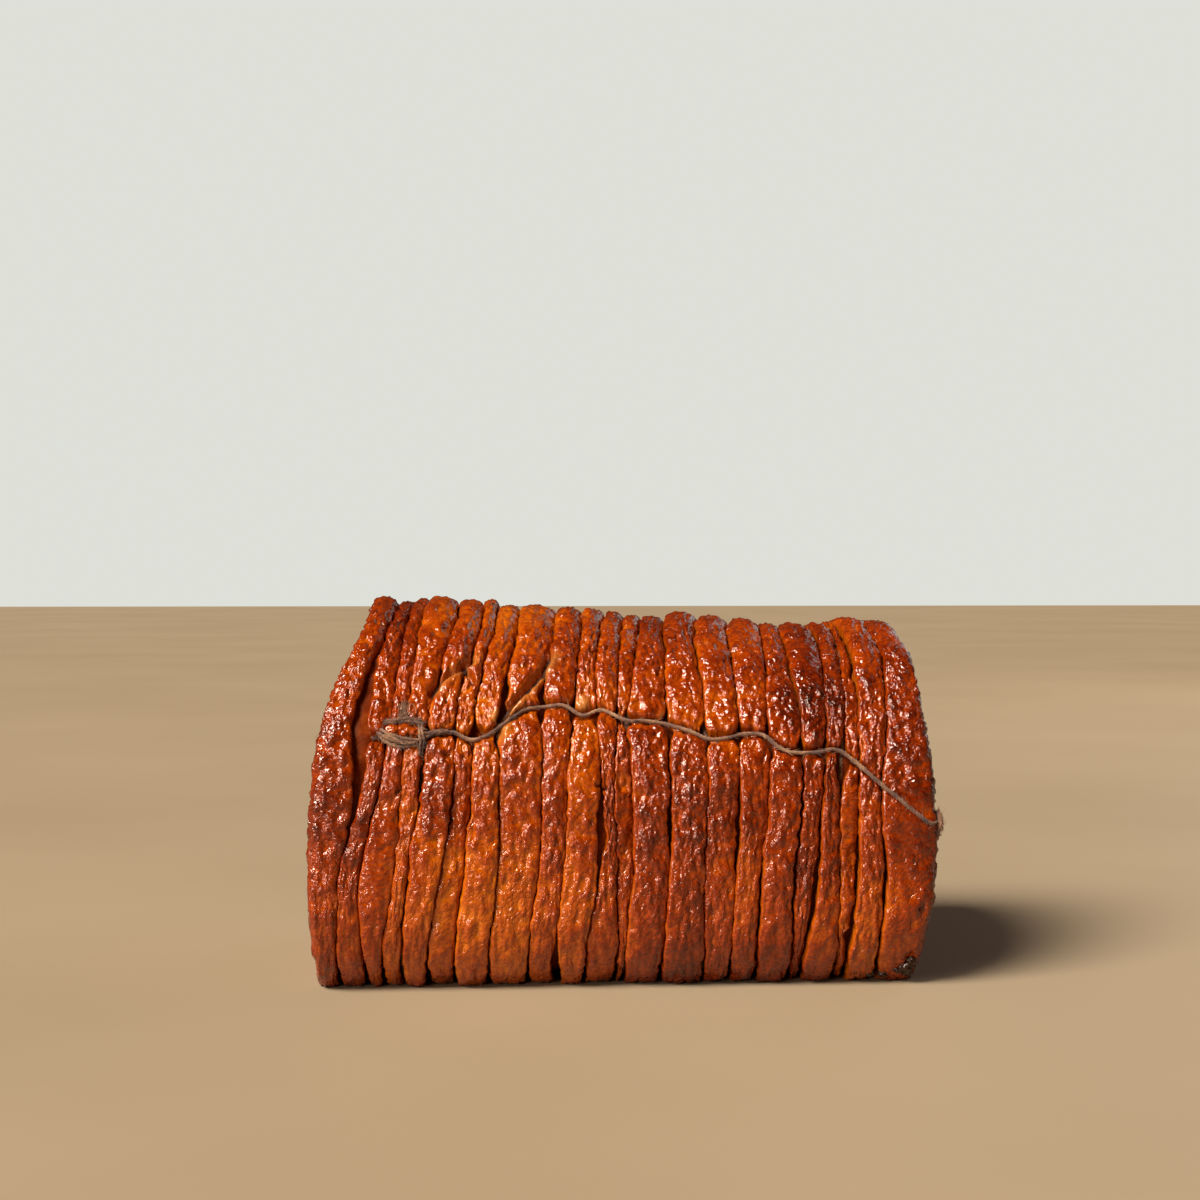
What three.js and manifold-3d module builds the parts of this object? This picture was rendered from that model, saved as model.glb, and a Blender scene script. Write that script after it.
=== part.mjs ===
// A whole roast porchetta: a rolled pork joint whose scored rind has puffed into strips of crackling,
// tied with kitchen twine. Millimetres, +Z up, +X along the roll, -Y is the side with the knot.
// The origin is the middle of the roll's footprint, on the surface that it rests on.
import * as THREE from "three";
import { mergeVertices } from "three/addons/utils/BufferGeometryUtils.js";
import Module from "manifold-3d";

// ---- Driving sizes -------------------------------------------------------------------------------

const ROLL = {
  crownLeft: 142.4, // height over the crackling at the left end
  crownRight: 132.4, // and at the right end
  heave: 1.4, // how much the crown line rises and falls between them
  halfDepthLeft: 73, // from the axis to the front
  halfDepthRight: 69,
  sag: 6, // how much of the round section is pressed flat against the board
  squareFoot: 3.8, // superellipse exponent of the sagging lower half
  roundCrown: 2.05, // and of the upper half
};

const RIND = {
  depth: 7, // from a strip's crown down to the floor of the cut beside it
  depthUnder: 4.2, // the same where the strips are pressed flat
  cutHalf: 1.1, // half the width of a cut at the strips' shoulders
  tieCutHalf: 1.7, // the same where a tie lies in the cut
  shoulder: 0.74, // how much of the depth a strip has at its shoulder
  rim: 8, // radius of the crackling where it rolls over an end
  crag: 0.7, // roughness of the baked surface
  lip: 2.6, // how far the rim stands out past the meat of an end
};

// The ends show the rolled layers of meat as a shallow spiral.
const SPIRAL = { layer: 26, wave: 1.9, middleLeft: -113, middleRight: 111 };

const TWINE = {
  radius: 0.8,
  tieRadius: 0.9,
  clearance: 0.35, // gap kept between twine and meat
  pinch: 3.2, // how far the long twine pulls the strips in
  pinchHalf: 2.6, // and how far to either side
  tiePinch: 3, // how far a tie that crosses a strip pulls it in
  endPinch: 0.5, // the pinch left where the twine slants over the right end's strips
  buried: 3.4, // how deep it lies under the first strip
  surfaces: [-104, -92], // where along the roll it comes out from there
  slants: [80, 92], // and where it starts its slant over the right end's strips
  sides: 5,
};

// Angles round the roll, in degrees: 0 is the front, 90 the top, 180 the back, -90 the underside.
const LOOKS = { crown: 68, twine: 30, belly: 5, flank: -18, foot: -43 };
const UNSEEN = { under: -90, backLow: -140, back: -180, backHigh: -230 };

// Where each end of the roll is, by angle. The left end is cut on the slant.
const LEFT_END = { crown: -96.5, twine: -110.5, belly: -115.2, flank: -116.3, foot: -114.8, under: -111,
  backLow: -108, back: -107, backHigh: -100 };
const RIGHT_END = { crown: 108.5, twine: 110.5, belly: 112.9, flank: 113, foot: 109, under: 107,
  backLow: 107, back: 109, backHigh: 106 };

// Each strip's width at the five looks, crown to foot, then how proud it stands above and below the
// twine, as a share of the rind's depth.
const STRIPS = [
  { wide: [8, 13, 16.5, 11.5, 8.5], proud: [1, 1] },
  { wide: [6, 10.5, 7.5, 7.5, 9.5], proud: [0.9, 0.95] },
  { wide: [5.5, 5.5, 7.5, 12, 7], proud: [0.85, 0.95] },
  { wide: [13, 7.5, 7.5, 5, 7], proud: [1.05, 0.9] },
  { wide: [10, 9.5, 11.5, 11.5, 9], proud: [1, 1.05] },
  { wide: [5, 6, 6.5, 8, 10], proud: [0.9, 0.75] },
  { wide: [9, 9, 10, 12.5, 13], proud: [0.9, 1.05] },
  { wide: [13.5, 15, 15, 15, 14], proud: [1, 1] },
  { wide: [10.5, 11, 9, 8.5, 10.5], proud: [1.05, 0.95] },
  { wide: [7, 8.5, 12.5, 13, 10.5], proud: [0.8, 1.05] },
  { wide: [8, 7, 4.5, 7, 12.5], proud: [1, 0.9] },
  { wide: [7, 4, 6.5, 6, 2.5], proud: [0.8, 0.7] },
  { wide: [10, 14, 13.5, 13, 14], proud: [1, 1] },
  { wide: [11.5, 13.5, 13, 13, 15.5], proud: [1, 1.05] },
  { wide: [13, 12, 12, 11.5, 10], proud: [1, 0.95] },
  { wide: [14, 10.5, 11, 9, 9.5], proud: [0.95, 0.95] },
  { wide: [8, 12, 11.5, 12.5, 13.5], proud: [1, 1.05] },
  { wide: [13.5, 9, 7.5, 8.5, 4], proud: [1.05, 0.8] },
  { wide: [7.5, 6.5, 6.5, 8.5, 13], proud: [0.9, 0.95] },
  { wide: [3, 5.5, 7, 6, 3.5], proud: [0.75, 0.75] },
  { wide: [11.5, 9.5, 8, 10.5, 12], proud: [1.05, 1] },
  { wide: [11, 15, 20.5, 19.5, 16.5], proud: [1, 1] },
];

// The ties, by the cut that holds each, counted from the left end. Two of them cross a strip on the
// front, between the angles in `crossing`, and cross back behind.
const TIES = [
  { low: 4, high: 5, crossing: [36, 47] },
  { low: 7, high: 8, crossing: [22, 50] },
  { low: 12, high: 12 },
  { low: 14, high: 14 },
  { low: 19, high: 19 },
];
const CROSSING_BACK = [-215, -188];
const TIE_CUTS = TIES.flatMap(({ low, high }) => [low, high]);

// Cuts that gape: half the width at the widest, at what angle, and over how many degrees.
const GAPES = [
  { cut: 1, half: 3.4, at: 28, spread: 15 },
  { cut: 9, half: 2.2, at: -45, spread: 7 },
  { cut: 18, half: 2, at: -26, spread: 10 },
  { cut: 19, half: 2.9, at: 18, spread: 6 },
  { cut: 20, half: 1.9, at: -30, spread: 9 },
];

// The long twine, by hand from the knot rightwards: along the roll and height above the board.
const FRONT_TWINE = [
  [-75, 94], [-70, 95.8], [-64, 96], [-58, 93.5], [-52, 95], [-46, 99], [-38, 104], [-31, 105],
  [-24, 105.5], [-17, 102], [-10, 104], [-1, 100], [6, 100], [13, 99], [22, 96], [29, 93], [36, 93.5],
  [42, 95], [49, 94.5], [55, 90], [60, 88], [69, 88], [76, 89], [83, 84], [89, 78], [98, 70.5],
];
const BACK_TWINE = [[92, 70], [72, 72], [50, 76], [26, 74], [0, 71], [-26, 74], [-52, 79], [-78, 82]];
const UNDER_FIRST_STRIP = [[-106, 94], [-100, 94.5], [-93, 95], [-84, 95]];
// The angles at which it turns over the corners of the two ends.
const CORNERS = { rightFront: -1.5, rightBack: 177, leftBack: 169 };
const KNOT = { along: -83.5, height: 95.2, loop: 8, flat: 0.3, strand: 1, turns: 3 };

const PALETTE = { crackling: 0x9a3f12, twine: 0x8a6238 };

// ---- Small helpers -------------------------------------------------------------------------------

const rad = THREE.MathUtils.degToRad;
const clamp = THREE.MathUtils.clamp;
const lerp = THREE.MathUtils.lerp;
const smooth = THREE.MathUtils.smoothstep;

// A repeatable random number from 0 to 1 for a pair of whole numbers.
function chance(i, j) {
  const s = Math.sin(i * 127.1 + j * 311.7 + 74.7) * 43758.5453;
  return s - Math.floor(s);
}

const ANGLES = { ...LOOKS, ...UNSEEN };
const STATIONS = Object.keys(ANGLES).sort((a, b) => ANGLES[a] - ANGLES[b]);
const turnTo = (degrees) => ((((degrees + 230) % 360) + 360) % 360) - 230;

// A smooth value round the roll through one value at each station.
function around(values, degrees) {
  const at = turnTo(degrees);
  const n = STATIONS.length;
  let k = n - 1;
  while (ANGLES[STATIONS[k]] > at) k -= 1;
  const key = (i) => STATIONS[((i % n) + n) % n];
  const angle = (i) => ANGLES[key(i)] + 360 * Math.floor(i / n);
  const slope = (i) => (values[key(i + 1)] - values[key(i - 1)]) / (angle(i + 1) - angle(i - 1));
  const gap = angle(k + 1) - angle(k);
  const t = (at - angle(k)) / gap;
  const [t2, t3] = [t * t, t * t * t];
  return (2 * t3 - 3 * t2 + 1) * values[key(k)] + (t3 - 2 * t2 + t) * gap * slope(k) +
    (3 * t2 - 2 * t3) * values[key(k + 1)] + (t3 - t2) * gap * slope(k + 1);
}

// ---- The roll ------------------------------------------------------------------------------------

const share = (x) => clamp((x - LEFT_END.flank) / (RIGHT_END.flank - LEFT_END.flank), 0, 1);

// The section at a place along the roll: its centre's height, half height and half depth.
function sectionAt(x) {
  const t = share(x);
  const crown = lerp(ROLL.crownLeft, ROLL.crownRight, t) + ROLL.heave * Math.sin(7 * t);
  return {
    centre: (crown - ROLL.sag) / 2,
    halfHeight: (crown + ROLL.sag) / 2,
    halfDepth: lerp(ROLL.halfDepthLeft, ROLL.halfDepthRight, t),
  };
}

// Radius of the envelope over the strips' crowns.
function envelope(x, degrees) {
  const { halfHeight, halfDepth } = sectionAt(x);
  const [c, s] = [Math.cos(rad(degrees)), Math.sin(rad(degrees))];
  const power = lerp(ROLL.squareFoot, ROLL.roundCrown, smooth(s, -0.7, 0.6));
  const sum = Math.pow(Math.abs(c / halfDepth), power) + Math.pow(Math.abs(s / halfHeight), power);
  return Math.pow(sum, -1 / power);
}

// A point of the roll. The underside is pressed flat, so nothing lies lower than its least height.
function place(x, degrees, radius, least = 0) {
  const z = sectionAt(x).centre + radius * Math.sin(rad(degrees));
  return new THREE.Vector3(x, -radius * Math.cos(rad(degrees)), Math.max(z, least));
}

// Each strip's width at every station. The back repeats the strips at their usual width, less evenly.
const WIDTHS = STRIPS.map(({ wide }, i) => {
  const looks = Object.keys(LOOKS);
  const usual = wide.reduce((sum, w) => sum + w, 0) / wide.length;
  const width = {};
  looks.forEach((look, k) => (width[look] = wide[k]));
  Object.keys(UNSEEN).forEach((look, k) => {
    width[look] = Math.max(5, usual) * (0.78 + 0.44 * chance(i, k));
  });
  width.under = (width.under + wide[4]) / 2;
  return width;
});

// Where cut number k runs at an angle: the strips share out the length between the two ends.
function cutAt(k, degrees) {
  const left = around(LEFT_END, degrees);
  const right = around(RIGHT_END, degrees);
  const widths = WIDTHS.map((w) => Math.max(2, around(w, degrees)));
  const total = widths.reduce((sum, w) => sum + w, 0);
  const before = widths.slice(0, k).reduce((sum, w) => sum + w, 0);
  return left + ((right - left) * before) / total;
}

// Half the width of cut number k at an angle.
function cutHalf(k, degrees) {
  const usual = TIE_CUTS.includes(k) ? RIND.tieCutHalf : RIND.cutHalf;
  return GAPES.filter(({ cut }) => cut === k).reduce((half, { half: widest, at, spread }) => {
    const away = turnTo(degrees - at) / spread;
    return half + (widest - usual) * Math.exp(-away * away);
  }, usual);
}

// How proud strip i stands at an angle, in millimetres over the floor of the cuts.
function rise(i, degrees) {
  const [above, below] = STRIPS[i].proud;
  const front = smooth(Math.cos(rad(degrees)), -0.2, 0.3);
  const over = smooth(Math.sin(rad(degrees)), 0.1, 0.45);
  return RIND.depth * lerp(1, lerp(below, above, over), front);
}

// The angle at which a height is reached on the front or, with side 1, the back.
function angleOf(x, height, side) {
  let degrees = 0;
  for (let i = 0; i < 12; i += 1) {
    const lift = (height - sectionAt(x).centre) / envelope(x, side > 0 ? 180 - degrees : degrees);
    degrees = THREE.MathUtils.radToDeg(Math.asin(clamp(lift, -1, 1)));
  }
  return side > 0 ? 180 - degrees : degrees;
}

function heightOn(route, x) {
  const way = route[0][0] < route[route.length - 1][0] ? route : [...route].reverse();
  let k = 0;
  while (k < way.length - 2 && way[k + 1][0] < x) k += 1;
  const t = clamp((x - way[k][0]) / (way[k + 1][0] - way[k][0]), 0, 1);
  return lerp(way[k][1], way[k + 1][1], t);
}

const pinchAt = (x) => lerp(TWINE.pinch, TWINE.endPinch, smooth(x, ...TWINE.slants));
const TWINE_FRONT = (x) => angleOf(x, heightOn(FRONT_TWINE, x), -1);
const TWINE_BACK = (x) => angleOf(x, heightOn(BACK_TWINE, x), 1);

// Where a tie lies along the roll at an angle.
function tieAlong({ low, high, crossing }, degrees) {
  const at = turnTo(degrees);
  const across = at > ANGLES.under ? smooth(at, ...(crossing ?? [0, 1])) : 1 - smooth(at, ...CROSSING_BACK);
  return lerp(cutAt(low, degrees), cutAt(high, degrees), across);
}

// How far the twine pinches the surface in.
function pinch(x, degrees) {
  const dip = (away) => Math.exp(-Math.pow(away / TWINE.pinchHalf, 2));
  const near = (line) => dip(rad(turnTo(degrees - line)) * envelope(x, degrees));
  const front = near(TWINE_FRONT(x)) * smooth(x, ...TWINE.surfaces);
  const crossed = TIES.filter(({ crossing }) => crossing).map((tie) => dip(x - tieAlong(tie, degrees)));
  const along = pinchAt(x) * Math.max(front, near(TWINE_BACK(x)));
  return Math.max(along, TWINE.tiePinch * Math.max(...crossed));
}

// Rows of vertices round the roll: even steps, and closer ones that follow the twine.
const TWINE_ROWS = [-3.8, -1.5, 0, 1.5, 3.8];
const ROW_STEP = 12;
const FRONT_ROW = 20;
const BACK_ROW = 176;
const ROWS = [];
for (const line of [FRONT_ROW, BACK_ROW]) {
  TWINE_ROWS.forEach((offset) => ROWS.push({ base: line + offset, line, offset }));
}
for (const [from, to] of [[FRONT_ROW, BACK_ROW], [BACK_ROW, FRONT_ROW + 360]]) {
  const [low, high] = [from + 3.8, to - 3.8];
  const steps = Math.round((high - low) / ROW_STEP);
  for (let i = 1; i < steps; i += 1) ROWS.push({ base: lerp(low, high, i / steps), line: null });
}
ROWS.sort((a, b) => (a.base % 360) - (b.base % 360));

// The angle of a row at a place along the roll: rows near the twine bend with it.
function rowAngle(row, x) {
  const drift = (line, actual) => {
    const away = Math.abs(turnTo(row.base - line));
    return (actual - line) * (1 - smooth(away, 4, 60));
  };
  return row.base + drift(FRONT_ROW, TWINE_FRONT(x)) + drift(BACK_ROW, TWINE_BACK(x));
}

// The columns of vertices from the left end's middle to the right end's. Each gives, for an angle,
// its place along the roll and how far it lies below the envelope.
const columns = [];
const FACE_RINGS = [0.14, 0.28, 0.41, 0.54, 0.67, 0.79, 0.89, 0.96];
const endEdge = (side, degrees) => around(side < 0 ? LEFT_END : RIGHT_END, degrees);
const endReach = (side, degrees) => envelope(endEdge(side, degrees), degrees) - RIND.rim;

// Where an end's face is along the roll, at an angle and a share of the way out to its rim.
function faceAlong(side, degrees, ring) {
  const middle = side < 0 ? SPIRAL.middleLeft : SPIRAL.middleRight;
  const turns = (ring * endReach(side, degrees)) / SPIRAL.layer - (side * degrees) / 360;
  const fade = smooth(ring, 0.1, 0.3) * (1 - smooth(ring, 0.85, 0.96));
  const wave = SPIRAL.wave * Math.cos(2 * Math.PI * turns) * fade;
  return lerp(middle, endEdge(side, degrees) - side * RIND.lip, ring * ring) + side * wave;
}

function faceColumn(side, ring) {
  return (degrees) => ({
    x: faceAlong(side, degrees, ring),
    radius: ring * endReach(side, degrees),
  });
}

function rimColumn(side, turn) {
  return (degrees) => {
    const [c, s] = [Math.cos(rad(turn)), Math.sin(rad(turn))];
    const x = endEdge(side, degrees) - side * RIND.rim * (1 - s);
    return { x, radius: envelope(x, degrees) - RIND.rim * (1 - c) };
  };
}

// The crown of strip i, at a share of the way across it.
function crownColumn(i, across) {
  return (degrees) => {
    const left = i === 0 ? cutAt(0, degrees) + RIND.rim : cutAt(i, degrees);
    const right = cutAt(i + 1, degrees) - (i === STRIPS.length - 1 ? RIND.rim : 0);
    const x = lerp(left, right, across);
    return { x, radius: envelope(x, degrees) - RIND.depth + rise(i, degrees) - pinch(x, degrees) };
  };
}

// The shoulder of the strip on one side of cut number k.
function shoulderColumn(k, side) {
  return (degrees) => {
    const x = cutAt(k, degrees) + side * cutHalf(k, degrees);
    const proud = rise(side < 0 ? k - 1 : k, degrees) * RIND.shoulder;
    return { x, radius: envelope(x, degrees) - RIND.depth + proud - pinch(x, degrees) };
  };
}

// The floor of cut number k, on its middle line or to one side of it.
function floorColumn(k, side) {
  return (degrees) => {
    const x = cutAt(k, degrees) + side * (cutHalf(k, degrees) - 0.2);
    return { x, radius: envelope(x, degrees) - RIND.depth, least: RIND.depthUnder };
  };
}

FACE_RINGS.forEach((ring) => columns.push(faceColumn(-1, ring)));
[90, 55, 20].forEach((turn) => columns.push(rimColumn(-1, turn)));
STRIPS.forEach((strip, i) => {
  if (i > 0) {
    const wide = TIE_CUTS.includes(i) || i === GAPES[0].cut;
    columns.push(shoulderColumn(i, -1));
    (wide ? [-1, 1] : [0]).forEach((side) => columns.push(floorColumn(i, side)));
    columns.push(shoulderColumn(i, 1));
  }
  columns.push(crownColumn(i, i === 0 ? 0.35 : i === STRIPS.length - 1 ? 0.65 : 0.5));
});
[20, 55, 90].forEach((turn) => columns.push(rimColumn(1, turn)));
[...FACE_RINGS].reverse().forEach((ring) => columns.push(faceColumn(1, ring)));

// The skin of the roll as one closed mesh: rings of vertices between two middle points.
function rollGeometry() {
  const points = [];
  const triangles = [];
  columns.forEach((column, j) => {
    const onFace = j < FACE_RINGS.length || j >= columns.length - FACE_RINGS.length;
    ROWS.forEach((row, i) => {
      const degrees = rowAngle(row, column(row.base).x);
      const { x, radius, least } = column(degrees);
      const crag = onFace ? 0 : (chance(i, j) - 0.5) * 2 * RIND.crag;
      points.push(place(x, degrees, radius + crag, least));
    });
  });
  const n = ROWS.length;
  for (let j = 0; j < columns.length - 1; j += 1) {
    for (let i = 0; i < n; i += 1) {
      const [a, b] = [j * n + i, j * n + ((i + 1) % n)];
      triangles.push([a, b + n, b], [a, a + n, b + n]);
    }
  }
  const middle = (side) => {
    const ring = points.slice(side < 0 ? 0 : points.length - n, side < 0 ? n : points.length);
    return ring.reduce((sum, p) => sum.addScaledVector(p, 1 / n), new THREE.Vector3());
  };
  const [left, right] = [points.length, points.length + 1];
  const last = (columns.length - 1) * n;
  const ends = [middle(-1), middle(1)];
  for (let i = 0; i < n; i += 1) {
    const next = (i + 1) % n;
    triangles.push([left, i, next], [right, last + next, last + i]);
  }
  points.push(...ends);
  const geometry = new THREE.BufferGeometry().setFromPoints(points);
  geometry.setIndex(triangles.flat());
  return geometry;
}

// ---- Twine ---------------------------------------------------------------------------------------

const tube = (points, radius, segments) =>
  new THREE.TubeGeometry(new THREE.CatmullRomCurve3(points, true), segments, radius, TWINE.sides, true);

// A tie lies at the bottom of its cut, all the way round.
function tiePoints(tie) {
  return ROWS.map((row) => {
    const degrees = rowAngle(row, tieAlong(tie, row.base));
    const x = tieAlong(tie, degrees);
    const floor = envelope(x, degrees) - RIND.depth;
    const out = TWINE.tieRadius + 2 * TWINE.clearance;
    return place(x, degrees, floor + RIND.crag + out, RIND.depthUnder - out);
  });
}

// A point of the twine over an end's corner, at a turn from 0 (along the roll) to 90 (across the end).
function overCorner(side, degrees, turn) {
  const bend = RIND.rim + TWINE.radius + TWINE.clearance;
  const x = endEdge(side, degrees) - side * (RIND.rim - bend * Math.sin(rad(turn)));
  return place(x, degrees, envelope(x, degrees) - RIND.rim + bend * Math.cos(rad(turn)));
}

// Points of the twine across an end: straight from corner to corner, but never inside the meat.
function acrossEnd(side, from, to) {
  return [0.12, 0.3, 0.5, 0.7, 0.88].map((t) => {
    const point = from.clone().lerp(to, t);
    const centre = sectionAt(point.x).centre;
    const degrees = THREE.MathUtils.radToDeg(Math.atan2(point.z - centre, -point.y));
    const ring = Math.hypot(point.y, point.z - centre) / endReach(side, degrees);
    const face = faceAlong(side, degrees, Math.min(ring, 1));
    const least = side * face + TWINE.radius + TWINE.clearance;
    return point.setX(side * Math.max(side * point.x, least));
  });
}

// The long twine: along the front, across the right end, back behind, across the left end and
// under the first strip to the knot.
function longTwinePoints() {
  const over = (side, route, sunk) => route.map(([x, z]) => {
    const degrees = angleOf(x, z, side);
    return place(x, degrees, envelope(x, degrees) + TWINE.radius + TWINE.clearance - sunk(x));
  });
  const corner = (side, degrees, turns) => turns.map((turn) => overCorner(side, degrees, turn));
  const rightFront = corner(1, CORNERS.rightFront, [25, 58, 90]);
  const rightBack = corner(1, CORNERS.rightBack, [90, 58, 25]);
  const leftBack = corner(-1, CORNERS.leftBack, [25, 58, 90]);
  const under = over(-1, UNDER_FIRST_STRIP, (x) => lerp(TWINE.buried, TWINE.pinch, smooth(x, -99, -88)));
  return [
    ...over(-1, FRONT_TWINE, pinchAt), ...rightFront,
    ...acrossEnd(1, rightFront[2], rightBack[0]), ...rightBack,
    ...over(1, BACK_TWINE, pinchAt), ...leftBack,
    ...acrossEnd(-1, leftBack[2], new THREE.Vector3(-112, -56, 94)), ...under,
  ];
}

// ---- Joining and cutting -------------------------------------------------------------------------

const wasm = await Module();
wasm.setup();

function solid(geometry) {
  const bare = new THREE.BufferGeometry().setAttribute("position", geometry.getAttribute("position"));
  bare.setIndex(geometry.index);
  const merged = mergeVertices(bare, 1e-4);
  return new wasm.Manifold(new wasm.Mesh({
    numProp: 3,
    vertProperties: merged.attributes.position.array,
    triVerts: new Uint32Array(merged.index.array),
  }));
}

function drawn(made) {
  const { numProp, numVert, vertProperties, triVerts } = made.getMesh();
  const positions = new Float32Array(numVert * 3);
  for (let i = 0; i < numVert; i += 1) {
    positions.set(vertProperties.subarray(i * numProp, i * numProp + 3), i * 3);
  }
  const geometry = new THREE.BufferGeometry();
  geometry.setAttribute("position", new THREE.BufferAttribute(positions, 3));
  geometry.setIndex(new THREE.BufferAttribute(triVerts, 1));
  geometry.computeVertexNormals();
  return geometry;
}

// The knot: a few tight turns of twine round the tie, drawn as rings that lean into each other.
function knotRings() {
  const { along, height, loop, flat, strand, turns } = KNOT;
  const degrees = angleOf(along, height, -1);
  const middle = place(along, degrees, envelope(along, degrees) - TWINE.radius);
  return Array.from({ length: turns }, (_, i) => {
    const lean = rad(-24 + 24 * i);
    const ring = [];
    for (let k = 0; k < 10; k += 1) {
      const turn = (k / 10) * 2 * Math.PI;
      const [u, v] = [loop * Math.cos(turn), loop * (flat + 0.1 * i) * Math.sin(turn)];
      ring.push(new THREE.Vector3(
        middle.x + u * Math.cos(lean) - v * Math.sin(lean),
        middle.y - 0.5 * i,
        middle.z + u * Math.sin(lean) + v * Math.cos(lean),
      ));
    }
    return { ring, strand };
  });
}

const longPoints = longTwinePoints();
const LONG_STEPS = 106;
const KNOT_STEPS = 13;
const TIE_STEPS = 34;
const longTwine = knotRings().reduce(
  (made, { ring, strand }) => made.add(solid(tube(ring, strand, KNOT_STEPS))),
  solid(tube(longPoints, TWINE.radius, LONG_STEPS)),
);
const room = knotRings().reduce(
  (made, { ring, strand }) => made.add(solid(tube(ring, strand + TWINE.clearance, KNOT_STEPS))),
  solid(tube(longPoints, TWINE.radius + TWINE.clearance, LONG_STEPS)),
);
const tieTube = (tie, gap) => tube(tiePoints(tie), TWINE.tieRadius + gap, TIE_STEPS);
const roll = TIES.filter(({ crossing }) => crossing).reduce(
  (made, tie) => made.subtract(solid(tieTube(tie, TWINE.clearance))),
  solid(rollGeometry()).subtract(room),
);

// ---- The object ----------------------------------------------------------------------------------

const crackling = new THREE.MeshStandardMaterial({
  color: PALETTE.crackling, roughness: 0.35, metalness: 0,
});
const jute = new THREE.MeshStandardMaterial({ color: PALETTE.twine, roughness: 0.9, metalness: 0 });

function named(name, geometry, material) {
  const mesh = new THREE.Mesh(geometry, material);
  mesh.name = name;
  return mesh;
}

const porchetta = new THREE.Group();
porchetta.add(named("roast", drawn(roll), crackling));
porchetta.add(named("long_twine", drawn(longTwine), jute));
TIES.forEach((tie, i) => porchetta.add(named(`tie_${i + 1}`, tieTube(tie, 0), jute)));

export default porchetta;
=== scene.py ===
import math

import bpy
import numpy as np
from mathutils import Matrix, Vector


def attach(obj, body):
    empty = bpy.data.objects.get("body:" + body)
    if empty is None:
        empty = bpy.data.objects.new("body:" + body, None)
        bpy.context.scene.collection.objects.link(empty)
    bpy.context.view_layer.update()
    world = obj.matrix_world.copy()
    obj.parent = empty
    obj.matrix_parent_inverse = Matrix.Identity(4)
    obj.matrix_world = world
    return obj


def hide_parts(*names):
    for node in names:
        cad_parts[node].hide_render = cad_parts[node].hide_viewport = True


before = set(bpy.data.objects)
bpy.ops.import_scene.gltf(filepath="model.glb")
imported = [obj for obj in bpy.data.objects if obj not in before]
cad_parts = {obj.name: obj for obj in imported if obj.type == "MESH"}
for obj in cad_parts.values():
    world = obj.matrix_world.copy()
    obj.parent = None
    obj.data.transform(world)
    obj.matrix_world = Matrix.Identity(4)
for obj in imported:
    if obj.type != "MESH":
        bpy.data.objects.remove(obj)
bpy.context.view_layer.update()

# A whole roast porchetta: a rolled pork joint in strips of blistered crackling, tied with twine.
# Lengths below are in millimetres unless they say metres, and the meshes are in metres. +X runs
# along the roll, -Y is the front, and angles go round the roll: 0 is the front, 90 the top, 180 the
# back, -90 the underside.
MM = 0.001
rng = np.random.default_rng(7)

# ---- Driving sizes -------------------------------------------------------------------------------

CROWN_LEFT, CROWN_RIGHT, HEAVE = 142.4, 132.4, 1.4
HALF_DEPTH_LEFT, HALF_DEPTH_RIGHT = 73, 69
SAG, SQUARE_FOOT, ROUND_CROWN = 6, 3.8, 2.05

STATIONS = np.array([-230, -180, -140, -90, -43, -18, 5, 30, 68])
LEFT_END = np.array([-100, -107, -108, -111, -114.8, -116.3, -115.2, -110.5, -96.5])
RIGHT_END = np.array([106, 109, 107, 107, 109, 113, 112.9, 110.5, 108.5])

# Each strip's width over the crown, at the twine, the belly, the flank and the foot, and how proud
# it stands above and below the twine.
STRIPS = [
    ((8, 13, 16.5, 11.5, 8.5), (1, 1)),
    ((6, 10.5, 7.5, 7.5, 9.5), (0.9, 0.95)),
    ((5.5, 5.5, 7.5, 12, 7), (0.85, 0.95)),
    ((13, 7.5, 7.5, 5, 7), (1.05, 0.9)),
    ((10, 9.5, 11.5, 11.5, 9), (1, 1.05)),
    ((5, 6, 6.5, 8, 10), (0.9, 0.75)),
    ((9, 9, 10, 12.5, 13), (0.9, 1.05)),
    ((13.5, 15, 15, 15, 14), (1, 1)),
    ((10.5, 11, 9, 8.5, 10.5), (1.05, 0.95)),
    ((7, 8.5, 12.5, 13, 10.5), (0.8, 1.05)),
    ((8, 7, 4.5, 7, 12.5), (1, 0.9)),
    ((7, 4, 6.5, 6, 2.5), (0.8, 0.7)),
    ((10, 14, 13.5, 13, 14), (1, 1)),
    ((11.5, 13.5, 13, 13, 15.5), (1, 1.05)),
    ((13, 12, 12, 11.5, 10), (1, 0.95)),
    ((14, 10.5, 11, 9, 9.5), (0.95, 0.95)),
    ((8, 12, 11.5, 12.5, 13.5), (1, 1.05)),
    ((13.5, 9, 7.5, 8.5, 4), (1.05, 0.8)),
    ((7.5, 6.5, 6.5, 8.5, 13), (0.9, 0.95)),
    ((3, 5.5, 7, 6, 3.5), (0.75, 0.75)),
    ((11.5, 9.5, 8, 10.5, 12), (1.05, 1)),
    ((11, 15, 20.5, 19.5, 16.5), (1, 1)),
]
LAST = len(STRIPS) - 1

RIND = 7.0  # from a strip's crown down to the floor of the cut beside it
EDGE, EDGE_TOP = 1.8, 4.4  # how far a strip's rounded shoulder drops, on the front and on top
ROOT = 10.5  # how far down a strip reaches, inside the meat
RIM = 8.0  # radius of the crackling where it rolls over an end
LIP = 2.6  # how far the rim stands out past the meat of an end
CUT_HALF = 0.04  # half a cut's width between two strips that all but touch
CUT_MORE = 0.35  # how much wider each half is in the places where the strips have drawn apart
FOOT_CUT, FOOT_AT, FOOT_SPREAD = 1.0, -54, 11  # and low on the front, where they curl under

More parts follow.
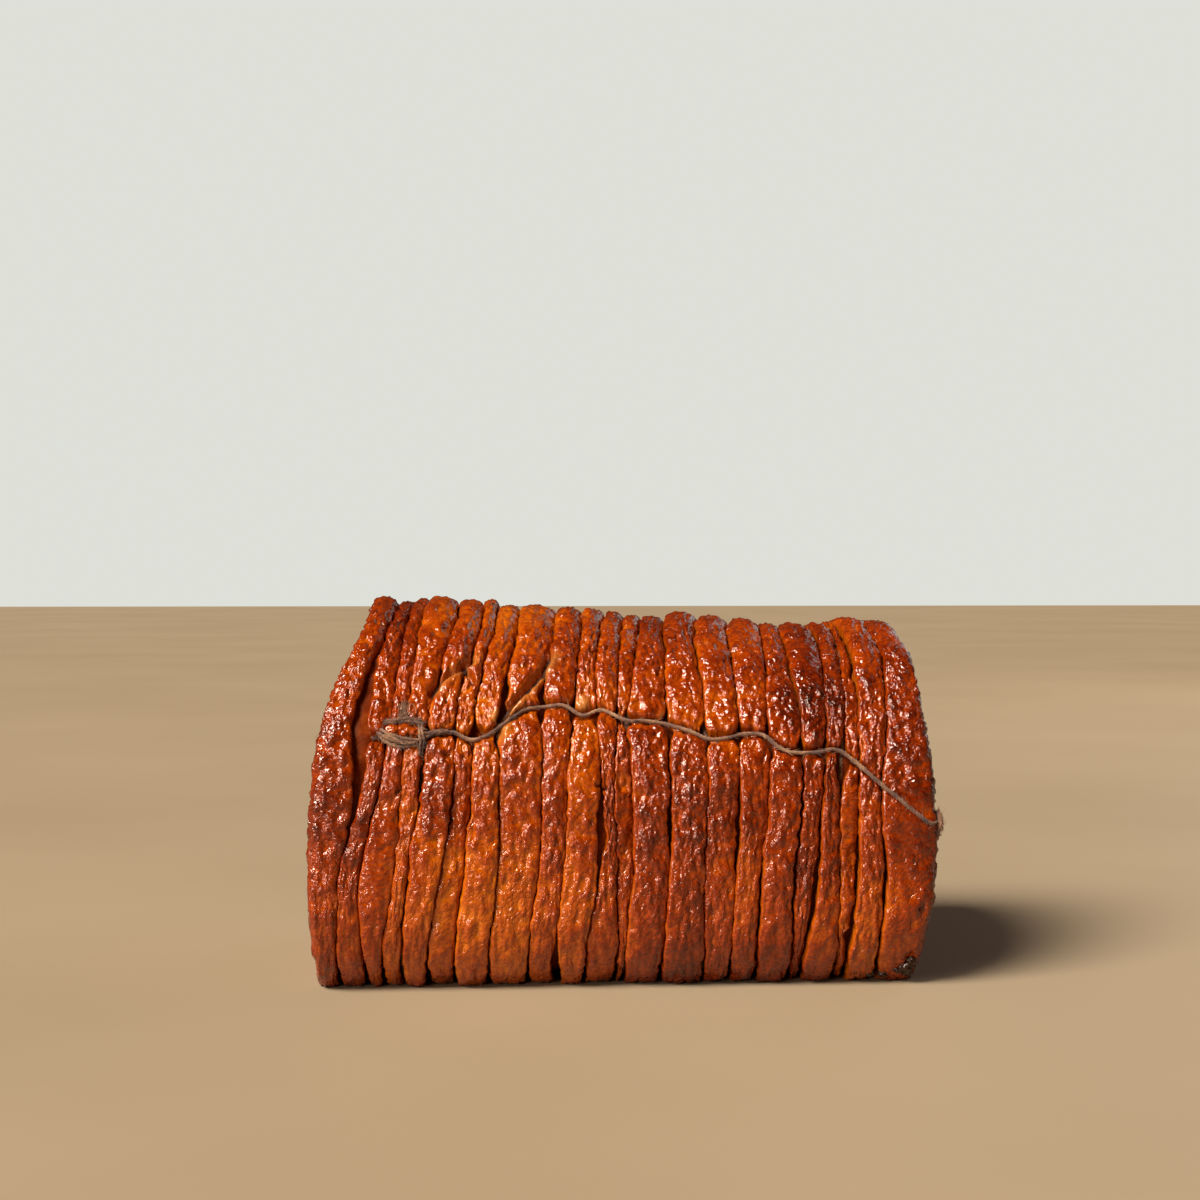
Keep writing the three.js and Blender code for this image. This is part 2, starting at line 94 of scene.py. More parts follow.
# Cuts that gape: the cut, half its width at the widest, at what angle, over how many degrees.
GAPES = [
    (1, 2.9, 24, 22), (4, 0.8, 9, 6), (6, 0.8, 22, 3), (9, 1.3, -46, 8), (10, 1.6, -6, 11),
    (13, 0.8, -4, 6), (15, 0.5, -8, 9), (16, 0.5, -26, 12), (17, 0.5, -20, 14), (18, 1.15, -22, 14),
    (19, 2.4, 16, 6), (20, 0.75, -16, 9), (20, 1.5, -35, 4), (21, 0.7, -18, 9),
]

# The ties: the cut below the twine, the cut above it, and the angles between which it changes over.
TIES = [(4, 5, (36, 47)), (7, 8, (22, 50)), (12, 12, (0, 1)), (14, 14, (0, 1)), (19, 19, (0, 1))]
CROSSING_BACK = (-215, -188)

# The long twine, from the knot rightwards: along the roll and height.
FRONT_TWINE = [
    (-75, 94), (-70, 95.8), (-64, 96), (-58, 93.5), (-52, 95), (-46, 99), (-38, 104), (-31, 105),
    (-24, 105.5), (-17, 102), (-10, 104), (-1, 100), (6, 100), (13, 99), (22, 96), (29, 93),
    (36, 93.5), (42, 95), (49, 94.5), (55, 90), (60, 88), (69, 88), (76, 89), (83, 84), (89, 78),
    (98, 70.5),
]
BACK_TWINE = [(92, 70), (72, 72), (50, 76), (26, 74), (0, 71), (-26, 74), (-52, 79), (-78, 82)]
UNDER_FIRST_STRIP = [(-106, 94), (-100, 94.5), (-93, 95), (-84, 95)]
RIGHT_FRONT, RIGHT_BACK, LEFT_BACK = -1.5, 177, 169  # angles at which it turns over the corners
TWINE, TIE = 0.8, 0.9  # radii
PINCH, PINCH_HALF = 4.6, 1.5  # how deep the long twine pulls the strips in, and half how widely
TIE_PINCH, TIE_PINCH_HALF = 4.5, 1.6  # the same for a tie that crosses a strip
SURFACES, SLANTS = (-104, -92), (82, 92)  # where the twine comes out, and where its slant starts
SLANT_PINCH = 0.1  # the share of the pinch that is left under the slant
SOFT_PULL = 2.2  # how many times wider than its groove the twine's soft pull is

# Spots of bare fat on the front: place along the roll, height and radius. More of it lies to the
# right of each slanting tie: how far beside it, and how widely.
BARE = [(-17, 106, 2.6), (12.6, 101, 1.5), (-49, 101.5, 2.2)]
BARE_BESIDE, BARE_HALF = 1.4, 2.6

# Cracks in the rind on the front: a line of places along the roll and heights, half the width, and
# the depth.
CRACKS = [
    ([(-12.4, 76.4), (-9.4, 75)], 0.5, 3), ([(106.2, 28.8), (108, 30.3)], 0.8, 4),
    ([(92, 12.6), (93.2, 12.6)], 0.5, 3), ([(-84.3, 74.3), (-83.3, 74.8)], 0.5, 3),
    ([(-56, 98), (-52, 95.6)], 0.9, 5), ([(-61, 120), (-57, 114)], 1.0, 4),
]


# ---- The roll's shape ----------------------------------------------------------------------------


def smooth(value, low, high):
    t = np.clip((np.asarray(value, float) - low) / (high - low), 0, 1)
    return t * t * (3 - 2 * t)


def mix(a, b, t):
    return a + (b - a) * t


def turn_to(degrees):
    return (np.asarray(degrees, float) + 230) % 360 - 230


def from_under(degrees):
    """The same angle, counted from -90 to 270, so that patterns join on the hidden underside."""
    return (np.asarray(degrees, float) + 90) % 360 - 90


def chance(i, j):
    s = np.sin(i * 127.1 + j * 311.7 + 74.7) * 43758.5453
    return s - np.floor(s)


def around(values, degrees):
    """A smooth value round the roll through one value at each station."""
    at = turn_to(degrees)
    k = np.searchsorted(STATIONS, at, side="right") - 1
    turn = np.concatenate([STATIONS[-1:] - 360, STATIONS, STATIONS[:2] + 360])
    wrap = np.concatenate([values[-1:], values, values[:2]])
    slope = (wrap[2:] - wrap[:-2]) / (turn[2:] - turn[:-2])
    gap = turn[k + 2] - turn[k + 1]
    t = (at - turn[k + 1]) / gap
    start = (2 * t**3 - 3 * t**2 + 1) * wrap[k + 1] + (t**3 - 2 * t**2 + t) * gap * slope[k]
    return start + (3 * t**2 - 2 * t**3) * wrap[k + 2] + (t**3 - t**2) * gap * slope[k + 1]


def section_at(x):
    """The section's centre height, half height and half depth at a place along the roll."""
    t = np.clip((x - LEFT_END[5]) / (RIGHT_END[5] - LEFT_END[5]), 0, 1)
    crown = mix(CROWN_LEFT, CROWN_RIGHT, t) + HEAVE * np.sin(7 * t)
    return (crown - SAG) / 2, (crown + SAG) / 2, mix(HALF_DEPTH_LEFT, HALF_DEPTH_RIGHT, t)


def envelope(x, degrees):
    """Radius of the envelope over the strips' crowns: a superellipse, squarer below."""
    _, half_height, half_depth = section_at(x)
    c, s = np.cos(np.radians(degrees)), np.sin(np.radians(degrees))
    power = mix(SQUARE_FOOT, ROUND_CROWN, smooth(s, -0.7, 0.6))
    return (np.abs(c / half_depth) ** power + np.abs(s / half_height) ** power) ** (-1 / power)


def place(x, degrees, radius, least=0.0):
    """Points of the roll in metres. The underside is pressed flat at its least height."""
    centre = section_at(x)[0]
    z = np.maximum(centre + radius * np.sin(np.radians(degrees)), least)
    return np.stack([x + 0 * z, -radius * np.cos(np.radians(degrees)), z], axis=-1) * MM


def strip_widths():
    """Each strip's width at each station. The back repeats their usual widths, less evenly."""
    rows = []
    for i, (wide, _) in enumerate(STRIPS):
        usual = max(5, sum(wide) / len(wide))
        under, back_low, back, back_high = (usual * (0.78 + 0.44 * chance(i, k)) for k in range(4))
        crown, twine, belly, flank, foot = wide
        hidden = [back_high, back, back_low, (under + foot) / 2]
        rows.append([*hidden, foot, flank, belly, twine, crown])
    return np.array(rows, float)


WIDTHS = strip_widths()


def drift(u, v, size, seed):
    """Smooth noise from -1 to 1 over a plane, with features of about the given size."""
    u, v = np.asarray(u, float) / size, np.asarray(v, float) / size
    i, j = np.floor(u), np.floor(v)
    s, t = u - i, v - j
    s, t = s * s * (3 - 2 * s), t * t * (3 - 2 * t)
    corner = lambda a, b: chance(i + a + seed * 17.3, j + b - seed * 5.1)
    low = mix(corner(0, 0), corner(1, 0), s)
    high = mix(corner(0, 1), corner(1, 1), s)
    return mix(low, high, t) * 2 - 1


def cut_line(k, degrees):
    """Where cut number k runs at an angle. The strips share out the length between the ends."""
    left, right = around(LEFT_END, degrees), around(RIGHT_END, degrees)
    widths = np.maximum(2, np.array([around(w, degrees) for w in WIDTHS]))
    before = widths[:k].sum(axis=0) if k else 0 * left
    return left + (right - left) * before / widths.sum(axis=0)


def cut_half(k, degrees):
    """Half the width of cut number k: close in most places, and gaping in a few."""
    apart = smooth(drift(from_under(degrees), 40 * k, 26, 3), 0.2, 0.9)
    half = CUT_HALF + CUT_MORE * apart
    half = half + FOOT_CUT * np.exp(-((turn_to(degrees - FOOT_AT) / FOOT_SPREAD) ** 2))
    for cut, widest, at, spread in GAPES:
        if cut == k:
            half = half + (widest - CUT_HALF) * np.exp(-((turn_to(degrees - at) / spread) ** 2))
    return half


def rise(i, degrees):
    """How proud strip i stands over the floor of the cuts."""
    above, below = STRIPS[i][1]
    front = smooth(np.cos(np.radians(degrees)), -0.2, 0.3)
    over = smooth(np.sin(np.radians(degrees)), 0.1, 0.45)
    return RIND * mix(1, mix(below, above, over), front)


def angle_of(x, height, back=False):
    """The angle at which a height is reached on the front or the back."""
    degrees = 0 * np.asarray(x, float)
    for _ in range(12):
        radius = envelope(x, 180 - degrees if back else degrees)
        degrees = np.degrees(np.arcsin(np.clip((height - section_at(x)[0]) / radius, -1, 1)))
    return 180 - degrees if back else degrees


def twine_angle(route, back=False):
    """The angle of a route of the long twine, as a function of the place along the roll."""
    way = sorted(route)
    xs = np.linspace(way[0][0], way[-1][0], 400)
    heights = np.interp(xs, [p[0] for p in way], [p[1] for p in way])
    angles = angle_of(xs, heights, back)
    return lambda x: np.interp(x, xs, angles)


front_angle, back_angle = twine_angle(FRONT_TWINE), twine_angle(BACK_TWINE, back=True)


def tie_line(tie, degrees):
    """Where a tie lies along the roll."""
    low, high, crossing = tie
    at = turn_to(degrees)
    across = np.where(at > -90, smooth(at, *crossing), 1 - smooth(at, *CROSSING_BACK))
    return mix(cut_line(low, degrees), cut_line(high, degrees), across)


def within(at, start, end):
    return smooth(at, start - 5, start + 2) * (1 - smooth(at, end - 2, end + 5))


def pinch(x, degrees, reach=1):
    """How far the twine pulls the surface in. A longer reach gives its wider, softer pull."""
    dip = lambda away, half: np.exp(-(np.abs(away / half / reach) ** (4 if reach == 1 else 2)))
    radius = envelope(x, degrees)
    half = PINCH_HALF * (1 + 0.3 * drift(x, 0, 7, 14))
    near = lambda line: dip(np.radians(turn_to(degrees - line)) * radius, half)
    front = near(front_angle(x)) * smooth(x, *SURFACES) * mix(1, SLANT_PINCH, smooth(x, *SLANTS))
    depth = PINCH * np.maximum(front, near(back_angle(x)))
    at = turn_to(degrees)
    for tie in TIES[:2]:
        crosses = within(at, *tie[2]) + within(at, *CROSSING_BACK)
        away = x - tie_line(tie, degrees)
        depth = np.maximum(depth, TIE_PINCH * crosses * dip(away, TIE_PINCH_HALF))
    return depth


def laid_bare(x, degrees, height):
    """Where the rind has split and shows pale fat: beside the slanting ties and at the twine."""
    at = turn_to(degrees)
    bare = np.zeros(np.shape(x))
    for tie in TIES[:2]:
        beside = np.exp(-(((x - tie_line(tie, degrees) - BARE_BESIDE) / BARE_HALF) ** 2))
        bare = np.maximum(bare, beside * within(at, *tie[2]))
    for along, high, reach in BARE:
        bare = np.maximum(bare, np.exp(-((np.hypot(x - along, height - high) / reach) ** 4)))
    return bare


def away_from(line, x, z):
    """Distance from a line of points."""
    nearest = np.full(np.shape(x), 1e9)
    for (x0, z0), (x1, z1) in zip(line, line[1:]):
        span = (x1 - x0) ** 2 + (z1 - z0) ** 2
        t = np.clip(((x - x0) * (x1 - x0) + (z - z0) * (z1 - z0)) / span, 0, 1)
        nearest = np.minimum(nearest, np.hypot(x - x0 - t * (x1 - x0), z - z0 - t * (z1 - z0)))
    return nearest


def crack(x, z):
    depth = np.zeros(np.shape(x))
    for line, half, deep in CRACKS:
        depth = np.maximum(depth, deep * np.exp(-((away_from(line, x, z) / half) ** 4)))
    return depth


# ---- Working with meshes -------------------------------------------------------------------------


def coordinates(piece):
    flat = np.empty(len(piece.data.vertices) * 3)
    piece.data.vertices.foreach_get("co", flat)
    return flat.reshape(-1, 3)


def reshape(piece, points):
    piece.data.vertices.foreach_set("co", np.asarray(points, np.float32).ravel())
    piece.data.update()


def alone(piece):
    bpy.ops.object.select_all(action="DESELECT")
    piece.select_set(True)
    bpy.context.view_layer.objects.active = piece


def finish_piece(piece, name, material, slot, *nodes):
    """Names a piece, sets its faces outwards, smooths it and puts it on the part."""
    piece.name = name
    piece.data.name = name
    alone(piece)
    bpy.ops.object.transform_apply(location=True, rotation=True, scale=True)
    bpy.ops.object.mode_set(mode="EDIT")
    bpy.ops.mesh.select_all(action="SELECT")
    bpy.ops.mesh.normals_make_consistent(inside=False)
    bpy.ops.object.mode_set(mode="OBJECT")
    bpy.ops.object.shade_smooth()
    piece.data.materials.clear()
    piece.data.materials.append(material)
    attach(piece, "root")
    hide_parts(*nodes)


def weigh(piece, name, weights):
    """A vertex group from an array, in sixteen steps."""
    group = piece.vertex_groups.new(name=name)
    steps = np.round(np.clip(weights, 0, 1) * 16).astype(int)
    for step in range(1, 17):
        chosen = np.nonzero(steps == step)[0].tolist()
        if chosen:
            group.add(chosen, step / 16, "REPLACE")


def store(piece, name, values):
    """Keeps one number for each vertex, for the material to read."""
    attribute = piece.data.attributes.new(name, "FLOAT", "POINT")
    attribute.data.foreach_set("value", np.asarray(values, np.float32))


def lay_out(piece, along, across):
    """A UV map in millimetres: along the strip and across it."""
    layer = piece.data.uv_layers.active or piece.data.uv_layers.new(name="mm")
    layer.name = "mm"
    corners = np.empty(len(piece.data.loops), int)
    piece.data.loops.foreach_get("vertex_index", corners)
    pairs = np.stack([along, across], axis=-1)[corners]
    layer.data.foreach_set("uv", pairs.astype(np.float32).ravel())


# ---- Relief --------------------------------------------------------------------------------------

UV_DOUBLE = 2  # a Displace modifier reads a UV map at twice its size


def pattern(name, kind, size_mm, **settings):
    texture = bpy.data.textures.new(name, kind)
    texture.noise_scale = size_mm * UV_DOUBLE
    for key, value in settings.items():
        setattr(texture, key, value)
    return texture


bubble = {"distance_metric": "DISTANCE_SQUARED", "noise_intensity": 1.0}
LUMPS = pattern("lumps", "CLOUDS", 4.4, noise_depth=1)
BLISTERS = pattern("blisters", "VORONOI", 2.1, **bubble)
BEADS = pattern("beads", "VORONOI", 1.35, **bubble)
GRAIN = pattern("grain", "CLOUDS", 1.2, noise_depth=1)


def displace(piece, texture, millimetres, group, middle=0.5):
    """Pushes the surface out and in by a texture that follows the piece's UV map."""
    modifier = piece.modifiers.new(texture.name, "DISPLACE")
    modifier.texture = texture
    modifier.texture_coords = "UV"
    modifier.uv_layer = "mm"
    modifier.strength = millimetres * MM
    modifier.mid_level = middle
    modifier.vertex_group = group
    alone(piece)
    bpy.ops.object.modifier_apply(modifier=modifier.name)


# ---- Materials -----------------------------------------------------------------------------------


def colour(value):
    """A linear colour from an sRGB hex string."""
    channels = [int(value[i : i + 2], 16) / 255 for i in (1, 3, 5)]
    linear = [c / 12.92 if c <= 0.04045 else ((c + 0.055) / 1.055) ** 2.4 for c in channels]
    return (*linear, 1)


def add(tree, kind, inputs=None, stops=None, **settings):
    """Adds a node with its settings, its inputs (values or sockets) and, on a ramp, its stops."""
    made = tree.nodes.new(kind)
    for key, value in settings.items():
        setattr(made, key, value)
    for key, value in (inputs or {}).items():
        if isinstance(value, bpy.types.NodeSocket):
            tree.links.new(value, made.inputs[key])
        else:
            made.inputs[key].default_value = value
    if stops:
        elements = made.color_ramp.elements
        while len(elements) < len(stops):
            elements.new(0.5)
        for element, (position, value) in zip(elements, stops):
            element.position = position
            element.color = colour(value)
    return made


def new_material(name):
    """A material, its nodes, and the object's own coordinates, in metres."""
    material = bpy.data.materials.new(name)
    material.use_nodes = True
    tree = material.node_tree
    tree.nodes.clear()
    return material, tree, add(tree, "ShaderNodeTexCoord").outputs["Object"]


def surface(tree, inputs):
    shader = add(tree, "ShaderNodeBsdfPrincipled", inputs)
    add(tree, "ShaderNodeOutputMaterial", {"Surface": shader.outputs[0]})


def per_metre(size_mm):
    return 1 / (size_mm * MM)


def stored(tree, name):
    """A number that the mesh keeps for each vertex."""
    return add(tree, "ShaderNodeAttribute", attribute_name=name).outputs["Fac"]


def noise(tree, vector, scale, detail, **inputs):
    inputs.update({"Vector": vector, "Scale": scale, "Detail": detail})
    return add(tree, "ShaderNodeTexNoise", inputs).outputs["Fac"]


def ramp(tree, value, *stops):
    return add(tree, "ShaderNodeValToRGB", {"Fac": value}, stops=stops).outputs["Color"]


def reckon(tree, operation, *values):
    inputs = dict(enumerate(values))
    return add(tree, "ShaderNodeMath", inputs, operation=operation).outputs[0]


def blend(tree, factor, a, b):
    inputs = {"Factor": factor, "A": a, "B": b}
    return add(tree, "ShaderNodeMix", inputs, data_type="RGBA").outputs["Result"]


def spread(tree, value, low, high, *reach):
    """A value brought from its reach, 0 to 1 unless given, to the range from low to high."""
    inputs = {"Value": value, "To Min": low, "To Max": high}
    inputs.update(zip(("From Min", "From Max"), reach))
    return add(tree, "ShaderNodeMapRange", inputs).outputs[0]


def bumped(tree, height, millimetres, strength, onto=None, **settings):
    """A normal bent by a height, over another bent normal if one is given."""
    inputs = {"Height": height, "Distance": millimetres * MM, "Strength": strength}
    if onto:
        inputs["Normal"] = onto
    return add(tree, "ShaderNodeBump", inputs, **settings).outputs[0]


def crackling():
    """Pork crackling: rind that has puffed and browned in the oven, glazed with its own fat.

    It is amber where thin and pale, mahogany where it has browned, and wet-looking all over.
    """
    material, tree, place_on = new_material("pork_crackling")
    strip = add(tree, "ShaderNodeUVMap", uv_map="mm").outputs["UV"]
    # The browning that the mesh keeps, with painted shade low on the front and painted light over
    # the top.
    bake_and_painted_light = stored(tree, "bake_and_painted_light")

    mottle = noise(tree, place_on, per_metre(5), 3, Roughness=0.6)
    speckle = noise(tree, place_on, per_metre(1.4), 2, Roughness=0.6)
    crest = spread(tree, stored(tree, "relief"), -0.14, 0.16, -0.8, 0.9)
    tone = reckon(tree, "MULTIPLY_ADD", mottle, 0.3, bake_and_painted_light)
    tone = reckon(tree, "MULTIPLY_ADD", speckle, 0.5, tone)
    tone = reckon(tree, "SUBTRACT", reckon(tree, "ADD", tone, crest), 0.37)
    skin = ramp(tree, tone, (0.0, "#B65E06"), (0.25, "#9C4202"), (0.5, "#7C2601"),
                (0.75, "#541201"), (1.0, "#1C0602"))
    pale = ramp(tree, speckle, (0.3, "#7E3004"), (0.7, "#A0520E"))
    base = blend(tree, stored(tree, "fat"), skin, pale)
    base = blend(tree, stored(tree, "bare"), base, colour("#9A602C"))

    rough = spread(tree, stored(tree, "puffed"), 0.3, 1.0)
    beads = add(tree, "ShaderNodeTexVoronoi", {"Vector": strip, "Scale": 1 / 1.3}, feature="F1")
    domes = reckon(tree, "MULTIPLY", beads.outputs["Distance"], beads.outputs["Distance"])
    wrinkles = noise(tree, strip, 1 / 1.5, 1, Roughness=0.5, Distortion=1.2)
    low = bumped(tree, domes, 0.35, rough, invert=True)
    bump = bumped(tree, wrinkles, 0.45, rough, low)
    char = spread(tree, bake_and_painted_light, 0.08, 0.5, 0.9, 1.1)
    surface(tree, {
        "Base Color": base, "Roughness": char, "IOR": 1.5, "Specular Tint": colour("#FFDCC0"),
        "Coat Weight": 0.2, "Coat Roughness": 0.05, "Normal": bump, "Coat Normal": bump})
    return material


def rendered_fat():
    """The layer under the rind, seen down the cuts: fat that has rendered out and fried amber."""
    material, tree, place_on = new_material("rendered_fat")
    mottle = noise(tree, place_on, per_metre(6), 3, Roughness=0.6)
    base = ramp(tree, mottle, (0.3, "#481502"), (0.55, "#622003"), (0.8, "#7C360A"))
    bump = bumped(tree, noise(tree, place_on, per_metre(1.2), 3), 0.3, 0.6)
    surface(tree, {"Base Color": base, "Roughness": 0.45, "IOR": 1.25,
                   "Specular Tint": colour("#FFC9A0"), "Normal": bump})
    return material


def roast_meat():
    """Roast pork at the ends: browned lean meat in rolled layers, with paler fat between them."""
    material, tree, place_on = new_material("roast_pork")
    mottle = noise(tree, place_on, per_metre(8), 5, Roughness=0.7)
    tone = reckon(tree, "MULTIPLY_ADD", mottle, 0.8, stored(tree, "layer"))
    base = ramp(tree, tone, (0.25, "#38180A"), (0.5, "#643012"), (0.7, "#80481E"),
                (0.95, "#A07440"))
    bump = bumped(tree, noise(tree, place_on, per_metre(1.6), 4, Roughness=0.7), 1.2, 1.0)
    surface(tree, {"Base Color": base, "Roughness": 0.45, "IOR": 1.4,
                   "Specular Tint": colour("#FFE4CC"), "Normal": bump})
    return material


def kitchen_twine():
    """Cotton kitchen twine, spun and twisted, stained by the fat and scorched in places."""
    material, tree, place_on = new_material("cotton_twine")
    stain = noise(tree, place_on, per_metre(7), 3, Roughness=0.6)
    base = ramp(tree, stain, (0.32, "#321B0C"), (0.5, "#643C20"), (0.72, "#8E643C"))
    bump = bumped(tree, noise(tree, place_on, per_metre(0.35), 2), 0.15, 0.7)
    surface(tree, {"Base Color": base, "Roughness": 0.85, "Sheen Weight": 0.2, "Normal": bump})
    return material


def floor_paint():
    """A plain pale studio floor, a little uneven."""
    material, tree, place_on = new_material("pale_floor")
    wear = noise(tree, place_on, per_metre(300), 3)
    base = ramp(tree, wear, (0.3, "#8A7456"), (0.7, "#907A5C"))
    surface(tree, {"Base Color": base, "Roughness": 0.7})
    return material


CRACKLING, FAT, MEAT, YARN = crackling(), rendered_fat(), roast_meat(), kitchen_twine()

# ---- Camera, light and floor ---------------------------------------------------------------------

CAMERA_TURN, CAMERA_AWAY, CAMERA_HEIGHT, CAMERA_ASIDE = -3, 756, 157, -7.5  # degrees, then mm
FOCAL, SENSOR = 57, 36
LOOKS_DOWN = 1.15  # degrees
SUN, SUN_WIDE, SUN_WAY = 7.7, 26, (0.76, 0.6, -0.95)  # strength, degrees across, and direction
ROOM_LIGHT = 0.09  # strength of the light that the walls throw back
LIGHTS_AIM = Vector((0, 0, 0.07))  # metres, as for the lights


def set_camera():
    data = bpy.data.cameras.new("camera")
    data.lens, data.sensor_width, data.clip_end = FOCAL, SENSOR, 20
    camera = bpy.data.objects.new("camera", data)
    bpy.context.scene.collection.objects.link(camera)
    turn = math.radians(CAMERA_TURN)
    right = Vector((math.cos(turn), math.sin(turn), 0))
    back = Vector((math.sin(turn), -math.cos(turn), 0))
    spot = back * CAMERA_AWAY + right * CAMERA_ASIDE + Vector((0, 0, CAMERA_HEIGHT))
    camera.location = spot * MM
    camera.rotation_euler = (math.radians(90 - LOOKS_DOWN), 0, turn)
    bpy.context.scene.camera = camera


def set_light(name, spot, size, watts):
    data = bpy.data.lights.new(name, "AREA")
    data.shape, data.size, data.size_y = "RECTANGLE", size[0], size[1]
    data.energy = watts
    light = bpy.data.objects.new(name, data)
    bpy.context.scene.collection.objects.link(light)
    light.location = spot
    light.rotation_euler = (LIGHTS_AIM - light.location).to_track_quat("-Z", "Y").to_euler()


def set_stage():
    bpy.ops.object.select_all(action="DESELECT")
    bpy.ops.mesh.primitive_plane_add(size=12, location=(0, 0, 0))
    floor = bpy.context.object
    floor.name = "floor"
    floor.data.materials.append(floor_paint())
    world = bpy.data.worlds.new("studio")
    bpy.context.scene.world = world
    world.use_nodes = True
    tree = world.node_tree
    tree.nodes.clear()
    seen = add(tree, "ShaderNodeLightPath").outputs["Is Camera Ray"]
    room = add(tree, "ShaderNodeBackground", {
        "Color": blend(tree, seen, colour("#E8B488"), colour("#DEE0D8")),
        "Strength": spread(tree, seen, ROOM_LIGHT, 1.0)})
    add(tree, "ShaderNodeOutputWorld", {"Surface": room.outputs[0]})
    sun = bpy.data.lights.new("window", "SUN")
    sun.energy, sun.angle = SUN, math.radians(SUN_WIDE)
    light = bpy.data.objects.new("window", sun)
    bpy.context.scene.collection.objects.link(light)
    light.rotation_euler = Vector(SUN_WAY).to_track_quat("-Z", "Y").to_euler()
    set_light("low_fill", (-0.9, -1.15, 0.28), (0.35, 0.5), 10)
    set_light("back", (1.25, 1.2, 0.8), (1.2, 1.2), 5)
    bpy.context.scene.view_settings.view_transform = "Standard"


set_camera()
set_stage()

# ---- Crackling strips ----------------------------------------------------------------------------

ROUND, ACROSS = 860, 44  # vertices round a strip and across its section
DENSER, SPARSEST = 0.5, -0.114  # they lie closest high on the front, where they show most
TORUS = 70  # radius of the ring that each strip starts as
NARROWEST = 0.8  # least half width of a strip
FRONT_SQUARE, TOP_SQUARE = 4.6, 2.5  # superellipse exponents of a strip's section
TOP_ROUND = 0.85  # how fully a strip takes its rounder section on top
WOBBLE = [(0.45, 9, 1), (0.35, 4, 2), (0.38, 1.7, 3)]  # ragged edges: amount, size and seed
REACH_LEFT, REACH_RIGHT = 1.8, 0.8  # how much further the two end strips reach on top
WAIST, DROP = 0.3, 1.1  # the share of its width and the height that a strip loses at the twine
UNEVEN, CANT = 0.9, 0.8  # how much a strip's crown rises and falls along it, and tips sideways
LEAN, CAMBER = 0.35, 0.35  # how much lower its right edge is, and how much its middle stands up
TOP_STEP = 2.6  # how much the strips' heights differ on top
END_ROOT = 4  # how much further down the two end strips reach
STRETCH = 1.05  # how much longer the blisters are round the roll than along it
BAKE, BAKE_STRIP, BAKE_BLISTER = 0.4, 0.12, 0.28  # browning: usual, between strips, on blisters

# Patches darker or paler: place along the roll, height, radius, and how much. Most are the rind's
# own browning, burnt in places; the wide one low in the middle of the front is painted shade, and
# the wide one over the top is painted light.
PATCHES = [
    (70, 124, 10, 0.14), (71, 104, 12, 0.18), (95, 118, 12, 0.08), (-110, 66, 16, 0.2),
    (-108, 92, 14, 0.15), (60, 60, 30, 0.06), (-60, 20, 40, -0.16), (95, 18, 24, -0.1),
    # (10, 12) is painted shade low on the front; (-30, 138) is painted light over the top.
    (10, 12, 40, 0.08), (106, 66, 30, 0.1), (-30, 138, 40, -0.1),
]


def section_profile(section, half_width, square, rim):
    """Side and height, -1 to 1, round a strip's section, with most vertices where they show.

    The rim is -1 or 1 where the strip rolls over an end on that side, and 0 elsewhere.
    """
    phi = np.radians(np.linspace(-90, 270, 3001))
    bend = lambda v: np.sign(v) * np.abs(v) ** (2 / square)
    side, height = bend(np.cos(phi)), bend(np.sin(phi))
    edge = np.where(side * rim > 0, RIM, EDGE)
    depth = np.where(height > 0, edge * (height - 1), (ROOT - edge) * height - edge)
    steps = np.hypot(np.diff(side * half_width), np.diff(depth))
    hidden = np.where(height[1:] < -0.2, 0.45 if rim else 0.13, 1)
    shown = np.cumsum(np.concatenate([[0], steps * hidden]))
    arc = np.cumsum(np.concatenate([[0], steps]))
    at = section * shown[-1]
    return (np.interp(at, shown, side), np.interp(at, shown, height), np.interp(at, shown, arc))


def ring_grid(piece):
    """For a torus's vertices, the angle round the roll and the share of the way round a section."""
    start = coordinates(piece) / MM
    out = np.hypot(start[:, 0], start[:, 1]) - TORUS
    turn = (np.arctan2(start[:, 1], start[:, 0]) / (2 * math.pi)) % 1
    section = (np.arctan2(start[:, 2], out) / (2 * math.pi)) % 1
    wave = lambda t: DENSER * np.sin(2 * math.pi * (t - SPARSEST)) / (2 * math.pi)
    return -90 + 360 * (turn + wave(turn) - wave(0)), section


def strip_edges(i, degrees, high):
    """Where strip i starts and stops along the roll."""
    left, right = cut_line(i, degrees), cut_line(i + 1, degrees)
    wobble = lambda k: sum(much * drift(degrees, 60 * k, size, seed) for much, size, seed in WOBBLE)
    drawn_in = cut_half(i, degrees) + wobble(i) if i > 0 else -REACH_LEFT * high
    drawn_back = cut_half(i + 1, degrees) - wobble(i + 1) if i < LAST else -REACH_RIGHT * high
    return left + drawn_in, right - drawn_back


def strip_crown(i, x, side, degrees, high, tight):
    """Radius of strip i's crown: uneven, and drawn in by the twine."""
    top = envelope(x, degrees) - RIND + rise(i, degrees) - pinch(x, degrees) - DROP * tight
    top = top + UNEVEN * drift(degrees, 50 * i, 14, 5)
    top = top + CANT * side * drift(degrees, 50 * i, 30, 8) - LEAN * side
    return top + CAMBER * (0.5 - side * side) + TOP_STEP * (chance(i, 5) - 0.5) * high


def shoulder_drop(i, side, high):
    """How far a strip's shoulder drops. It is deeper where an end strip rolls over the end."""
    edge = mix(EDGE, EDGE_TOP, high)
    if i == 0:
        edge = mix(RIM, edge, smooth(side, -0.9, 0.3))
    if i == LAST:
        edge = mix(edge, RIM, smooth(side, -0.3, 0.9))
    return edge


def blister_cover(i, x, along, degrees, crown, tight, bare):
    """How fully the rind has blistered, 0 to 1. It is patchy, and less low on the front."""
    patchy = mix(0.7, 1, smooth(drift(along, x, 22, 11), -0.5, 0.5))
    lower = mix(1, 0.9, smooth(-degrees, 5, 40))
    if i == 0:
        patchy, lower = 1, 1
    cover = mix(0.2, 1, crown) * patchy * lower * mix(1, 0.5, np.clip(tight, 0, 1))
    return cover * (1 - 0.85 * bare)


